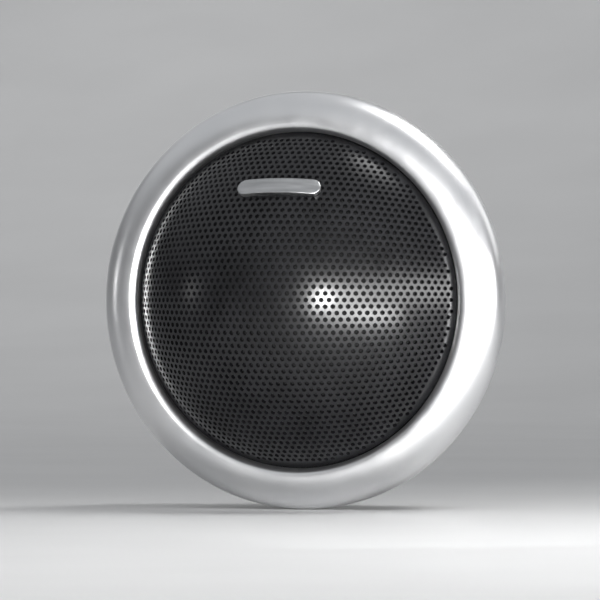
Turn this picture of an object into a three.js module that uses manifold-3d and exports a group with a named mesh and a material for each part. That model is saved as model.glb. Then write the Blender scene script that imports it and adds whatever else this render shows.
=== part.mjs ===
// A round car-door tweeter: a dome loudspeaker that snaps into a hole in the door panel.
// Millimetres, +Z up. The sound axis is Y: the listener is toward -Y, the inside of the door is toward +Y.
// The origin is the middle of the door-panel hole, on the panel's front face.
import * as THREE from "three";
import { mergeVertices } from "three/addons/utils/BufferGeometryUtils.js";
import Module from "manifold-3d";

const wasm = await Module();
wasm.setup();

// ---- Driving dimensions ------------------------------------------------------------------

// How finely round pieces are divided, in flats per turn.
const OUTER_FLATS = 48;
const INNER_FLATS = 36;
const SMALL_FLATS = 12;
const WIRE_SIDES = 8;

const CLEAR = 0.1; // between pieces that share the axis
const STACK = 0.05; // between flat faces that lie on each other
const SLIP = 0.15; // between a loose piece and the seat that locates it
const TAB_CLEAR = 0.25; // round a solder tab where it passes through the web
const CUT_CLEAR = 0.3; // between a rounded piece and the hole it passes through
const THROUGH = 1; // how far a cutter runs past what it cuts

// The door panel that the tweeter is made for. The panel isn't part of the object.
const PANEL_HOLE_R = 24.7;
const PANEL_THICK = 3;

// Bezel ring: a convex silver ring, crest near its inner edge.
const BEZEL_R = 29;
const BEZEL_INNER_R = 23.3;
const BEZEL_CREST_R = 24.5;
const BEZEL_CREST_Y = -5.3;
const BEZEL_SHOULDER_Y = -1.4;
const BEZEL_LIP_Y = -4.2;
const BEZEL_SKIRT_Y = -0.3;
const BEZEL_SKIRT_R = 28.2;

// Grille: a spherical bulge of perforated steel, with a short wall and a hem under the bezel.
const GRILLE_R = 23.1;
const GRILLE_BULGE = 12.2;
const GRILLE_THICK = 0.6;
const GRILLE_RIM_Y = -4.2;
const GRILLE_HEM_R = 24.7;
const GRILLE_HEM_Y = -2.5;
const CLOTH_THICK = 0.4;

// Badge: a plain bar that hugs the bulge above its middle.
const BADGE_WIDE = 11.8;
const BADGE_HIGH = 2.3;
const BADGE_THICK = 0.9;
const BADGE_ABOVE = 15.3;

// Gasket between the flange and the door panel.
const GASKET_INNER_R = 25.9;
const GASKET_R = 28;
const GASKET_THICK = 0.8;

// Front housing: spigot through the panel with a flange ring round it, a web behind the diaphragm,
// and a collar for the motor.
const FLANGE_R = 28;
const FLANGE_FRONT_Y = -2.4;
const RECESS_R = 22.4;
const SPIGOT_R = 24.3;
const SPIGOT_INNER_R = 22.9;
const SPIGOT_END_Y = 12;
const WEB_FRONT_Y = 1;
const WEB_REAR_Y = 2.6;
const COLLAR_R = 17.1;
const COLLAR_INNER_R = 15.5;
const COLLAR_END_Y = 6.2;

// Snap tongues: cut out of the spigot wall, rooted at its rear, each with a barb behind the panel.
const TONGUE_COUNT = 4;
const TONGUE_WIDE = 6;
const TONGUE_SLOT = 1;
const TONGUE_ROOT_Y = 11;
const TONGUE_CATCH_Y = PANEL_THICK + CLEAR;
const BARB_R = PANEL_HOLE_R + 0.9;
const BARB_LAND = 0.5;
const BARB_END_Y = 9;
const BARB_WIDE = 5.6;

// Body screws, and the pillars that they bite into.
const SCREW_COUNT = 3;
const SCREW_CIRCLE_R = 17.9;
const SCREW_SHANK_R = 0.85;
const SCREW_LENGTH = 9;
const SCREW_HEAD_R = 1.8;
const SCREW_HEAD_HIGH = 1.3;
const SCREW_SOCKET_WIDE = 0.6;
const SCREW_SOCKET_LONG = 2;
const SCREW_SOCKET_DEEP = 0.7;
const PILLAR_R = 1.6;

// Faceplate: clamps the diaphragm ring and flares out toward the grille.
const FACEPLATE_R = 22.3;
const FACEPLATE_MOUTH_R = 21.6;
const FACEPLATE_THROAT_R = 16.4;
const FACEPLATE_FRONT_Y = -2.6;
const FACEPLATE_THROAT_Y = -1.25;
const FACEPLATE_CLAMP_Y = -0.95;

// Diaphragm: dome, voice coil and surround, on a ring.
const DOME_R = 12.7;
const DOME_HIGH = 4.5;
const DOME_THICK = 0.3;
const DOME_EDGE_Y = -0.95;
const FORMER_R = 12.7;
const FORMER_THICK = 0.2;
const FORMER_END_Y = 4.2;
const COIL_R = 13.1;
const COIL_INNER_R = 12.8;
const COIL_FRONT_Y = 1.2;
const COIL_REAR_Y = 3.8;
const ROLL_CENTRE_R = 14.45;
const ROLL_CENTRE_Y = -0.75;
const ROLL_R = 1.6;
const SURROUND_THICK = 0.3;
const SURROUND_R = 18.3;
const SURROUND_RIM_Y = -0.9;
const SURROUND_LIP_Y = -0.45;
const RING_R = 18.6;
const RING_INNER_R = 15.9;
const RING_FRONT_Y = -0.55;

// Motor.
const FELT_R = 10.5;
const FELT_THICK = 1.1;
const PLATE_R = 12.15;
const PLATE_FRONT_Y = 1.5;
const PLATE_THICK = 2;
const MAGNET_R = 11.5;
const MAGNET_THICK = 4;
const YOKE_R = 15.4;
const YOKE_INNER_R = 13.45;
const YOKE_FRONT_Y = 1.3;
const YOKE_BASE = 2;
const YOKE_CHAMFER = 0.7;

// Rear housing, its seal and the foam behind the motor.
const REAR_R = 21.4;
const REAR_INNER_R = 19.9;
const REAR_FRONT_Y = 3.4;
const REAR_WALL = 1.5;
const REAR_END_Y = 21.35;
const REAR_ROUND = 1.6;
const SEAL_THICK = 0.7;
const FOAM_R = 14.8;
const FOAM_THICK = 2;

// Terminal board with its capacitor and connector.
const BOARD_WIDE = 22;
const BOARD_THICK = 1.2;
const POST_R = 0.85;
const POST_X = 8.6;
const POST_Z = -8.6;
const CAP_R = 3.15;
const CAP_LONG = 11;
const CAP_Z = 4.5;
const CAP_GROOVE = 0.25;
const CAP_LEAD_R = 0.3;
const CAP_LEAD_X = 7.4;
const SHELL_WIDE = 10.6;
const SHELL_HIGH = 7.6;
const SHELL_WALL = 1;
const SHELL_BASE = 1.35;
const SHELL_Z = -3.5;
const SHELL_END_Y = 29;
const LATCH_WIDE = 3;
const LATCH_HIGH = 0.9;
const LATCH_CATCH_Y = 24;
const LATCH_END_Y = 27;
const PIN_WIDE = 0.8;
const PIN_PITCH = 2.5;
const PIN_END_Y = 24.4;
const PIN_TAIL = 0.7;

// Wiring between the board and the voice coil.
const TAB_WIDE = 2;
const TAB_THICK = 0.4;
const TAB_INNER_X = 15.35;
const TAB_OUTER_X = 18.4;
const TAB_END_Y = 6;
const LEAD_R = 0.15;
const HOOKUP_R = 0.55;

// ---- Finishes ----------------------------------------------------------------------------

function finish(color, roughness, metalness) {
  return new THREE.MeshStandardMaterial({ color, roughness, metalness });
}

const SATIN_SILVER = finish(0xb6b8ba, 0.32, 1);
const BADGE_GREY = finish(0x8d8f92, 0.35, 1);
const BLACK_MESH = finish(0x1b1b1d, 0.55, 0.6);
const BLACK_CLOTH = finish(0x0c0c0d, 0.95, 0);
const BLACK_FOAM = finish(0x1a1a1a, 0.95, 0);
const BLACK_MOULDED = finish(0x17181a, 0.6, 0);
const COATED_SILK = finish(0x24242a, 0.6, 0);
const ALUMINIUM = finish(0xc3c6ca, 0.35, 1);
const COPPER = finish(0xb56a3a, 0.35, 1);
const FELT_GREY = finish(0x55534f, 0.98, 0);
const PLATED_STEEL = finish(0x9a9c9f, 0.3, 1);
const NEODYMIUM = finish(0xa9abae, 0.25, 1);
const BLACK_RUBBER = finish(0x111111, 0.85, 0);
const BOARD_GREEN = finish(0x1f5a35, 0.5, 0);
const SLEEVE_BLUE = finish(0x1e3a78, 0.35, 0);
const TINNED = finish(0xc9cbcc, 0.3, 1);
const BRASS = finish(0xb8923f, 0.3, 1);
const RED_WIRE = finish(0x9c1f1c, 0.45, 0);
const BLACK_WIRE = finish(0x141414, 0.45, 0);

// ---- Shape helpers -----------------------------------------------------------------------

// One closed body with shared corners and no collapsed triangles.
function closed(geometry) {
  geometry.deleteAttribute("normal");
  geometry.deleteAttribute("uv");
  const merged = mergeVertices(geometry, 1e-4);
  const old = merged.index.array;
  const kept = [];
  for (let i = 0; i < old.length; i += 3) {
    const [a, b, c] = [old[i], old[i + 1], old[i + 2]];
    if (a !== b && b !== c && c !== a) kept.push(a, b, c);
  }
  merged.setIndex(kept);
  return merged;
}

function toSolid(geometry) {
  const clean = closed(geometry.clone());
  const mesh = new wasm.Mesh({
    numProp: 3,
    vertProperties: new Float32Array(clean.attributes.position.array),
    triVerts: new Uint32Array(clean.index.array),
  });
  mesh.merge();
  return new wasm.Manifold(mesh);
}

function fromSolid(solid) {
  const mesh = solid.getMesh();
  const geometry = new THREE.BufferGeometry();
  geometry.setAttribute("position", new THREE.BufferAttribute(mesh.vertProperties, 3));
  geometry.setIndex(new THREE.BufferAttribute(mesh.triVerts, 1));
  return geometry;
}

function cutAway(body, cutters) {
  return fromSolid(cutters.reduce((left, cutter) => left.subtract(toSolid(cutter)), toSolid(body)));
}

function joined(body, additions) {
  return fromSolid(additions.reduce((sum, more) => sum.add(toSolid(more)), toSolid(body)));
}

// Points [r, y] on an ellipse about [r0, y0]. Angle 0 points outward, 90 points to the front (-Y).
function arc(r0, y0, reachR, reachY, from, to, steps) {
  const points = [];
  for (let i = 0; i <= steps; i += 1) {
    const angle = THREE.MathUtils.degToRad(from + ((to - from) * i) / steps);
    points.push([r0 + reachR * Math.cos(angle), y0 - reachY * Math.sin(angle)]);
  }
  return points;
}

// A spherical cap's curve from its top on the axis to radius r, as [r, y] points.
function capCurve(centreY, sphereR, r, steps) {
  const last = Math.asin(r / sphereR);
  const points = [];
  for (let i = 0; i <= steps; i += 1) {
    const angle = (last * i) / steps;
    points.push([sphereR * Math.sin(angle), centreY - sphereR * Math.cos(angle)]);
  }
  return points;
}

// The sphere through a rim circle and a top point, and where its centre lies.
function sphereOver(rimR, rimY, high) {
  const radius = (rimR * rimR + high * high) / (2 * high);
  return { radius, centreY: rimY - high + radius };
}

// A solid of revolution about Y from a profile of [r, y] points. A profile that reaches the axis
// starts and ends there, and any other one is closed here.
function turned(profile, flats) {
  const onAxis = profile[0][0] < 1e-9;
  let area = 0;
  profile.forEach(([r, y], i) => {
    const [nextR, nextY] = profile[(i + 1) % profile.length];
    area += r * nextY - nextR * y;
  });
  const ordered = area > 0 ? profile : [...profile].reverse();
  const points = ordered.map(([r, y]) => new THREE.Vector2(r, y));
  if (!onAxis) points.push(points[0].clone());
  return closed(new THREE.LatheGeometry(points, flats));
}

// A flat ring or disc between two depths.
function washer(innerR, outerR, frontY, rearY, flats) {
  return turned([[innerR, frontY], [outerR, frontY], [outerR, rearY], [innerR, rearY]], flats);
}

function box(x0, x1, y0, y1, z0, z1) {
  const geometry = new THREE.BoxGeometry(x1 - x0, y1 - y0, z1 - z0);
  return geometry.translate((x0 + x1) / 2, (y0 + y1) / 2, (z0 + z1) / 2);
}

function rod(radius, y0, y1, x, z, flats = SMALL_FLATS) {
  return new THREE.CylinderGeometry(radius, radius, y1 - y0, flats).translate(x, (y0 + y1) / 2, z);
}

// An outline in X and Z, made solid between two depths.
function slab(shape, y0, y1, curveSegments = 4) {
  const options = { depth: y1 - y0, bevelEnabled: false, curveSegments };
  return closed(new THREE.ExtrudeGeometry(shape, options)).rotateX(Math.PI / 2).translate(0, y1, 0);
}

// An outline in X (outward) and Y (depth), made solid across the width in Z.
function across(points, wide) {
  const shape = new THREE.Shape(points.map(([x, y]) => new THREE.Vector2(x, y)));
  return new THREE.ExtrudeGeometry(shape, { depth: wide, bevelEnabled: false }).translate(0, 0, -wide / 2);
}

// A round wire through a list of [x, y, z] points.
function wire(points, radius, steps) {
  const section = new THREE.Shape();
  section.absarc(0, 0, radius, 0, 2 * Math.PI);
  const extrudePath = new THREE.CatmullRomCurve3(points.map((p) => new THREE.Vector3(...p)));
  const options = { steps, extrudePath, curveSegments: WIRE_SIDES / 2 };
  return closed(new THREE.ExtrudeGeometry(section, options));
}

// Turns a geometry from +X round the sound axis, toward +Z.
function turnedTo(geometry, degrees) {
  return geometry.rotateY(-THREE.MathUtils.degToRad(degrees));
}

// The same make at equal angles round the sound axis.
function aroundAxis(count, firstDegrees, make) {
  return Array.from({ length: count }, (_, i) => turnedTo(make(), firstDegrees + (360 * i) / count));
}

// ---- Front trim --------------------------------------------------------------------------

const bulge = sphereOver(GRILLE_R, GRILLE_RIM_Y, GRILLE_BULGE);

function bezelRing() {
  const underside = FLANGE_FRONT_Y - STACK;
  const overHem = GRILLE_HEM_Y - GRILLE_THICK - STACK;
  return turned([
    [BEZEL_SKIRT_R, BEZEL_SKIRT_Y],
    [BEZEL_R, BEZEL_SKIRT_Y],
    ...arc(BEZEL_CREST_R, BEZEL_SHOULDER_Y, BEZEL_R - BEZEL_CREST_R,
      BEZEL_SHOULDER_Y - BEZEL_CREST_Y, 0, 90, 6),
    ...arc(BEZEL_CREST_R, BEZEL_LIP_Y, BEZEL_CREST_R - BEZEL_INNER_R,
      BEZEL_LIP_Y - BEZEL_CREST_Y, 90, 180, 3).slice(1),
    [BEZEL_INNER_R, overHem],
    [GRILLE_HEM_R + CLEAR, overHem],
    [GRILLE_HEM_R + CLEAR, underside],
    [BEZEL_SKIRT_R, underside],
  ], OUTER_FLATS);
}

function grille() {
  const innerR = GRILLE_R - GRILLE_THICK;
  const hemFront = GRILLE_HEM_Y - GRILLE_THICK;
  return turned([
    ...capCurve(bulge.centreY, bulge.radius, GRILLE_R, 7),
    [GRILLE_R, hemFront],
    [GRILLE_HEM_R, hemFront],
    [GRILLE_HEM_R, GRILLE_HEM_Y],
    [innerR, GRILLE_HEM_Y],
    ...capCurve(bulge.centreY, bulge.radius - GRILLE_THICK, innerR, 5).reverse(),
  ], OUTER_FLATS);
}

function grilleCloth() {
  const sphereR = bulge.radius - GRILLE_THICK - CUT_CLEAR;
  const outerR = GRILLE_R - GRILLE_THICK - CLEAR;
  const innerR = outerR - CLOTH_THICK;
  const endY = FACEPLATE_FRONT_Y - CLEAR;
  return turned([
    ...capCurve(bulge.centreY, sphereR, outerR, 4),
    [outerR, endY],
    [innerR, endY],
    ...capCurve(bulge.centreY, sphereR - CLOTH_THICK, innerR, 4).reverse(),
  ], INNER_FLATS);
}

// The bar is cut from a round-ended prism by two spheres about the bulge's own centre.
function badgeBar() {
  const gap = bulge.radius + CUT_CLEAR;
  const tilt = Math.asin(BADGE_ABOVE / bulge.radius);
  const half = BADGE_WIDE / 2 - BADGE_HIGH / 2;
  const outline = new THREE.Shape();
  outline.absarc(half, 0, BADGE_HIGH / 2, -Math.PI / 2, Math.PI / 2);
  outline.absarc(-half, 0, BADGE_HIGH / 2, Math.PI / 2, (3 * Math.PI) / 2);
  const prism = slab(outline, -gap - 2 * BADGE_THICK, -gap + 2 * BADGE_THICK).rotateX(-tilt);
  const ball = (radius) => toSolid(new THREE.SphereGeometry(radius, 2 * OUTER_FLATS, OUTER_FLATS));
  const bar = toSolid(prism).intersect(ball(gap + BADGE_THICK)).subtract(ball(gap));
  return fromSolid(bar).translate(0, bulge.centreY, 0);
}

function panelGasket() {
  return washer(GASKET_INNER_R, GASKET_R, -GASKET_THICK, 0, OUTER_FLATS);
}

// ---- Front housing -----------------------------------------------------------------------

const boardRearY = REAR_END_Y - REAR_WALL - STACK;
const boardFrontY = boardRearY - BOARD_THICK;
const pillarEndY = REAR_END_Y - REAR_WALL - CLEAR;

// The flange is its own moulding, welded round the front of the spigot.
function flangeRing() {
  return washer(SPIGOT_R + CLEAR, FLANGE_R, FLANGE_FRONT_Y, -GASKET_THICK - STACK, OUTER_FLATS);
}

function housingBody() {
  return turned([
    [RECESS_R, FLANGE_FRONT_Y],
    [SPIGOT_R, FLANGE_FRONT_Y],
    [SPIGOT_R, SPIGOT_END_Y],
    [SPIGOT_INNER_R, SPIGOT_END_Y],
    [SPIGOT_INNER_R, WEB_REAR_Y],
    [COLLAR_R, WEB_REAR_Y],
    [COLLAR_R, COLLAR_END_Y],
    [COLLAR_INNER_R, COLLAR_END_Y],
    [COLLAR_INNER_R, WEB_FRONT_Y],
    [RECESS_R, WEB_FRONT_Y],
  ], INNER_FLATS);
}

function barb() {
  const rootR = SPIGOT_R - CUT_CLEAR;
  return across([
    [rootR, TONGUE_CATCH_Y],
    [BARB_R, TONGUE_CATCH_Y],
    [BARB_R, TONGUE_CATCH_Y + BARB_LAND],
    [rootR, BARB_END_Y],
  ], BARB_WIDE);
}

// The slot round a tongue: an open U with the tongue standing in it.
function tongueSlot() {
  const inner = SPIGOT_INNER_R - THROUGH;
  const outer = SPIGOT_R + THROUGH;
  const side = TONGUE_WIDE / 2;
  const far = side + TONGUE_SLOT;
  const frame = box(inner, outer, WEB_REAR_Y, TONGUE_ROOT_Y, -far, far);
  const tongue = box(inner - THROUGH, outer + THROUGH, TONGUE_CATCH_Y, TONGUE_ROOT_Y + THROUGH, -side, side);
  return cutAway(frame, [tongue]);
}

function frontHousing() {
  const screwTipY = REAR_END_Y + STACK - SCREW_LENGTH;
  const pillar = () => rod(PILLAR_R, WEB_REAR_Y - THROUGH, pillarEndY, SCREW_CIRCLE_R, 0);
  const pilotR = SCREW_SHANK_R + CUT_CLEAR;
  const pilot = () => rod(pilotR, screwTipY - THROUGH, pillarEndY + THROUGH, SCREW_CIRCLE_R, 0);
  const halfSlot = TAB_WIDE / 2 + TAB_CLEAR;
  const tabSlot = () => box(TAB_OUTER_X - TAB_THICK - TAB_CLEAR, TAB_OUTER_X + TAB_CLEAR,
    WEB_FRONT_Y - THROUGH, WEB_REAR_Y + THROUGH, -halfSlot, halfSlot);
  const slotted = cutAway(housingBody(), aroundAxis(TONGUE_COUNT, 45, tongueSlot));
  const built = joined(slotted, [
    ...aroundAxis(TONGUE_COUNT, 45, barb),
    ...aroundAxis(SCREW_COUNT, 90, pillar),
  ]);
  return cutAway(built, [...aroundAxis(SCREW_COUNT, 90, pilot), ...aroundAxis(2, 0, tabSlot)]);
}

function faceplate() {
  const flare = new THREE.QuadraticBezierCurve(
    new THREE.Vector2(FACEPLATE_MOUTH_R, FACEPLATE_FRONT_Y),
    new THREE.Vector2((FACEPLATE_MOUTH_R + FACEPLATE_THROAT_R) / 2, FACEPLATE_THROAT_Y),
    new THREE.Vector2(FACEPLATE_THROAT_R, FACEPLATE_THROAT_Y),
  );
  return turned([
    ...flare.getPoints(4).map((p) => [p.x, p.y]),
    [FACEPLATE_THROAT_R, FACEPLATE_CLAMP_Y],
    [RING_R + SLIP, FACEPLATE_CLAMP_Y],
    [RING_R + SLIP, WEB_FRONT_Y - STACK],
    [FACEPLATE_R, WEB_FRONT_Y - STACK],
    [FACEPLATE_R, FACEPLATE_FRONT_Y],
  ], INNER_FLATS);
}

// ---- Diaphragm ---------------------------------------------------------------------------

function dome() {
  const outer = sphereOver(DOME_R, DOME_EDGE_Y, DOME_HIGH);
  const innerSphere = outer.radius - DOME_THICK;
  const innerR = Math.sqrt(innerSphere ** 2 - (outer.centreY - DOME_EDGE_Y) ** 2);
  return turned([
    ...capCurve(outer.centreY, outer.radius, DOME_R, 5),
    ...capCurve(outer.centreY, innerSphere, innerR, 4).reverse(),
  ], INNER_FLATS);
}

function voiceCoilFormer() {
  return washer(FORMER_R - FORMER_THICK, FORMER_R, DOME_EDGE_Y + CLEAR, FORMER_END_Y, INNER_FLATS);
}

function voiceCoil() {
  return washer(COIL_INNER_R, COIL_R, COIL_FRONT_Y, COIL_REAR_Y, INNER_FLATS);
}

function surround() {
  const innerRoll = ROLL_R - SURROUND_THICK;
  const meet = THREE.MathUtils.radToDeg(Math.asin((ROLL_CENTRE_Y - SURROUND_RIM_Y) / ROLL_R));
  return turned([
    [ROLL_CENTRE_R - ROLL_R, SURROUND_LIP_Y],
    ...arc(ROLL_CENTRE_R, ROLL_CENTRE_Y, ROLL_R, ROLL_R, 180, meet, 6),
    [SURROUND_R, SURROUND_RIM_Y],
    [SURROUND_R, SURROUND_RIM_Y + SURROUND_THICK],
    [ROLL_CENTRE_R + innerRoll, SURROUND_RIM_Y + SURROUND_THICK],
    ...arc(ROLL_CENTRE_R, ROLL_CENTRE_Y, innerRoll, innerRoll, 0, 180, 5),
    [ROLL_CENTRE_R - innerRoll, SURROUND_LIP_Y],
  ], INNER_FLATS);
}

// The ring carries the surround, and is notched behind for the two solder tabs.
function diaphragmRing() {
  const rear = WEB_FRONT_Y - STACK;
  const notchFront = rear - TAB_THICK - 2 * CLEAR;
  const half = TAB_WIDE / 2 + SLIP;
  const notch = () => box(RING_INNER_R - THROUGH, RING_R + THROUGH, notchFront, rear + THROUGH, -half, half);
  return cutAway(washer(RING_INNER_R, RING_R, RING_FRONT_Y, rear, INNER_FLATS), aroundAxis(2, 0, notch));
}

// ---- Motor -------------------------------------------------------------------------------

const magnetFrontY = PLATE_FRONT_Y + PLATE_THICK + STACK;
const yokeFloorY = magnetFrontY + MAGNET_THICK + STACK;
const yokeRearY = yokeFloorY + YOKE_BASE;

function disc(radius, frontY, rearY) {
  return turned([[0, frontY], [radius, frontY], [radius, rearY], [0, rearY]], INNER_FLATS);
}

function yokeCup() {
  return turned([
    [0, yokeFloorY],
    [YOKE_INNER_R, yokeFloorY],
    [YOKE_INNER_R, YOKE_FRONT_Y],
    [YOKE_R, YOKE_FRONT_Y],
    [YOKE_R, yokeRearY - YOKE_CHAMFER],
    [YOKE_R - YOKE_CHAMFER, yokeRearY],
    [0, yokeRearY],
  ], INNER_FLATS);
}

// ---- Rear housing ------------------------------------------------------------------------

const rearFloorY = REAR_END_Y - REAR_WALL;

function rearHousing() {
  const cup = turned([
    [0, REAR_END_Y],
    ...arc(REAR_R - REAR_ROUND, REAR_END_Y - REAR_ROUND, REAR_ROUND, REAR_ROUND, -90, 0, 3),
    [REAR_R, REAR_FRONT_Y],
    [REAR_INNER_R, REAR_FRONT_Y],
    [REAR_INNER_R, rearFloorY],
    [0, rearFloorY],
  ], INNER_FLATS);
  const posts = [-1, 1].map((side) => {
    return rod(POST_R, boardFrontY - STACK, rearFloorY + THROUGH, side * POST_X, POST_Z);
  });
  const holeR = SCREW_SHANK_R + CUT_CLEAR;
  const screwHole = () => rod(holeR, rearFloorY - THROUGH, REAR_END_Y + THROUGH, SCREW_CIRCLE_R, 0);
  const halfWide = SHELL_WIDE / 2 + CUT_CLEAR;
  const halfHigh = SHELL_HIGH / 2 + CUT_CLEAR;
  const window = box(-halfWide, halfWide, rearFloorY - THROUGH, REAR_END_Y + THROUGH,
    SHELL_Z - halfHigh, SHELL_Z + halfHigh);
  return cutAway(joined(cup, posts), [window, ...aroundAxis(SCREW_COUNT, 90, screwHole)]);
}

function chamberSeal() {
  const frontY = WEB_REAR_Y + STACK;
  return washer(REAR_INNER_R + STACK, REAR_R - STACK, frontY, frontY + SEAL_THICK, INNER_FLATS);
}

// A pan-head screw with a cross recess, head to the rear.
function bodyScrew() {
  const under = REAR_END_Y + STACK;
  const top = under + SCREW_HEAD_HIGH;
  const screw = turned([
    [0, under - SCREW_LENGTH],
    [SCREW_SHANK_R / 2, under - SCREW_LENGTH],
    [SCREW_SHANK_R, under - SCREW_LENGTH + SCREW_SHANK_R],
    [SCREW_SHANK_R, under],
    [SCREW_HEAD_R, under],
    [SCREW_HEAD_R, top - SCREW_HEAD_HIGH / 2],
    [SCREW_HEAD_R / 2, top],
    [0, top],
  ], SMALL_FLATS);
  const short = SCREW_SOCKET_WIDE / 2;
  const long = SCREW_SOCKET_LONG / 2;
  const recessY = top - SCREW_SOCKET_DEEP;
  const cross = [
    box(-long, long, recessY, top + THROUGH, -short, short),
    box(-short, short, recessY, top + THROUGH, -long, long),
  ];
  return cutAway(screw, cross).translate(SCREW_CIRCLE_R, 0, 0);
}

// ---- Terminal board, capacitor and connector ---------------------------------------------

const capY = boardFrontY - CUT_CLEAR - CAP_R;
const sides = [-1, 1];

function terminalBoard() {
  const half = BOARD_WIDE / 2;
  const front = boardFrontY - THROUGH;
  const rear = boardRearY + THROUGH;
  const squareHole = (x, z) => {
    const reach = PIN_WIDE / 2 + CLEAR;
    return box(x - reach, x + reach, front, rear, z - reach, z + reach);
  };
  const holes = sides.flatMap((side) => [
    squareHole((side * PIN_PITCH) / 2, SHELL_Z),
    squareHole(side * CAP_LEAD_X, CAP_Z),
    rod(POST_R + CUT_CLEAR, front, rear, side * POST_X, POST_Z),
  ]);
  return cutAway(box(-half, half, boardFrontY, boardRearY, -half, half), holes);
}

// A small cylinder lying across the board, with the rolled groove of an aluminium can near one end.
function capacitor() {
  const half = CAP_LONG / 2;
  const profile = [
    [0, -half],
    [CAP_R, -half],
    [CAP_R, half - 2],
    [CAP_R - CAP_GROOVE, half - 1.6],
    [CAP_R, half - 1.2],
    [CAP_R, half - CAP_GROOVE],
    [CAP_R - CAP_GROOVE, half],
    [0, half],
  ];
  return turned(profile, 2 * SMALL_FLATS).rotateZ(Math.PI / 2).translate(0, capY, CAP_Z);
}

function capacitorLead(side) {
  const start = CAP_LONG / 2 + CUT_CLEAR;
  const bend = CAP_LEAD_X - 0.5;
  return wire([
    [side * start, capY, CAP_Z],
    [side * bend, capY, CAP_Z],
    [side * CAP_LEAD_X, capY + 0.5, CAP_Z],
    [side * CAP_LEAD_X, (capY + boardFrontY) / 2, CAP_Z],
    [side * CAP_LEAD_X, boardRearY - 2 * CLEAR, CAP_Z],
  ], CAP_LEAD_R, 7);
}

// The plug goes in from the rear. A ramp on top catches the plug's latch.
function connectorShell() {
  const front = rearFloorY;
  const halfWide = SHELL_WIDE / 2;
  const halfHigh = SHELL_HIGH / 2;
  const topZ = SHELL_Z + halfHigh;
  const body = box(-halfWide, halfWide, front, SHELL_END_Y, SHELL_Z - halfHigh, topZ);
  const root = -SHELL_WALL / 2;
  const ramp = across([
    [root, LATCH_CATCH_Y],
    [LATCH_HIGH, LATCH_CATCH_Y],
    [0, LATCH_END_Y],
    [root, LATCH_END_Y],
  ], LATCH_WIDE);
  turnedTo(ramp, 90).translate(0, 0, topZ);
  const cavity = box(-halfWide + SHELL_WALL, halfWide - SHELL_WALL, front + SHELL_BASE, SHELL_END_Y + THROUGH,
    SHELL_Z - halfHigh + SHELL_WALL, topZ - SHELL_WALL);
  const square = PIN_WIDE / 2 + CLEAR;
  const holes = sides.map((side) => {
    const x = (side * PIN_PITCH) / 2;
    return box(x - square, x + square, front - THROUGH, front + SHELL_BASE + THROUGH,
      SHELL_Z - square, SHELL_Z + square);
  });
  return cutAway(joined(body, [ramp]), [cavity, ...holes]);
}

function terminalPin(side) {
  const x = (side * PIN_PITCH) / 2;
  const half = PIN_WIDE / 2;
  return box(x - half, x + half, boardFrontY - PIN_TAIL, PIN_END_Y, SHELL_Z - half, SHELL_Z + half);
}

// ---- Wiring ------------------------------------------------------------------------------

// An L of sheet brass: flat under the ring, then back through the web.
function solderTab() {
  const rear = WEB_FRONT_Y - STACK - CLEAR / 2;
  const front = rear - TAB_THICK;
  return across([
    [TAB_INNER_X, front],
    [TAB_OUTER_X, front],
    [TAB_OUTER_X, TAB_END_Y],
    [TAB_OUTER_X - TAB_THICK, TAB_END_Y],
    [TAB_OUTER_X - TAB_THICK, rear],
    [TAB_INNER_X, rear],
  ], TAB_WIDE);
}

// A limp loop from the former to the tab, so that the coil can travel.
function leadWire() {
  const startX = FORMER_R + CLEAR + LEAD_R;
  const endX = TAB_INNER_X - CLEAR - LEAD_R;
  const lowY = WEB_FRONT_Y - 0.25;
  return wire([
    [startX, lowY, 0],
    [startX + 0.25, lowY - 0.8, 0],
    [(startX + endX) / 2, lowY - 1.3, 0],
    [endX - 0.25, lowY - 0.8, 0],
    [endX, lowY, 0],
  ], LEAD_R, 9);
}

function hookupWire() {
  const tabX = TAB_OUTER_X - TAB_THICK / 2;
  const boardX = BOARD_WIDE / 2 - 2;
  return wire([
    [tabX, TAB_END_Y + CUT_CLEAR, 0],
    [tabX, 9, 0],
    [tabX, 12, 0],
    [tabX - 2.5, 15, 0],
    [boardX + 1.2, 16.6, 0],
    [boardX, boardFrontY - CUT_CLEAR, 0],
  ], HOOKUP_R, 10);
}

// ---- Assembly ----------------------------------------------------------------------------

const tweeter = new THREE.Group();

function addPart(name, geometry, material) {
  const mesh = new THREE.Mesh(geometry, material);
  mesh.name = name;
  tweeter.add(mesh);
}

addPart("bezel_ring", bezelRing(), SATIN_SILVER);
addPart("badge_bar", badgeBar(), BADGE_GREY);
addPart("grille", grille(), BLACK_MESH);
addPart("grille_cloth", grilleCloth(), BLACK_CLOTH);
addPart("panel_gasket", panelGasket(), BLACK_FOAM);
addPart("flange_ring", flangeRing(), BLACK_MOULDED);
addPart("front_housing", frontHousing(), BLACK_MOULDED);
addPart("faceplate", faceplate(), BLACK_MOULDED);

addPart("dome", dome(), COATED_SILK);
addPart("surround", surround(), COATED_SILK);
addPart("voice_coil_former", voiceCoilFormer(), ALUMINIUM);
addPart("voice_coil", voiceCoil(), COPPER);
addPart("diaphragm_ring", diaphragmRing(), BLACK_MOULDED);

addPart("felt_pad", disc(FELT_R, PLATE_FRONT_Y - STACK - FELT_THICK, PLATE_FRONT_Y - STACK), FELT_GREY);
addPart("pole_plate", disc(PLATE_R, PLATE_FRONT_Y, PLATE_FRONT_Y + PLATE_THICK), PLATED_STEEL);
addPart("magnet", disc(MAGNET_R, magnetFrontY, magnetFrontY + MAGNET_THICK), NEODYMIUM);
addPart("yoke_cup", yokeCup(), PLATED_STEEL);
addPart("damping_foam", disc(FOAM_R, yokeRearY + 2 * CLEAR, yokeRearY + 2 * CLEAR + FOAM_THICK), BLACK_FOAM);

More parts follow.
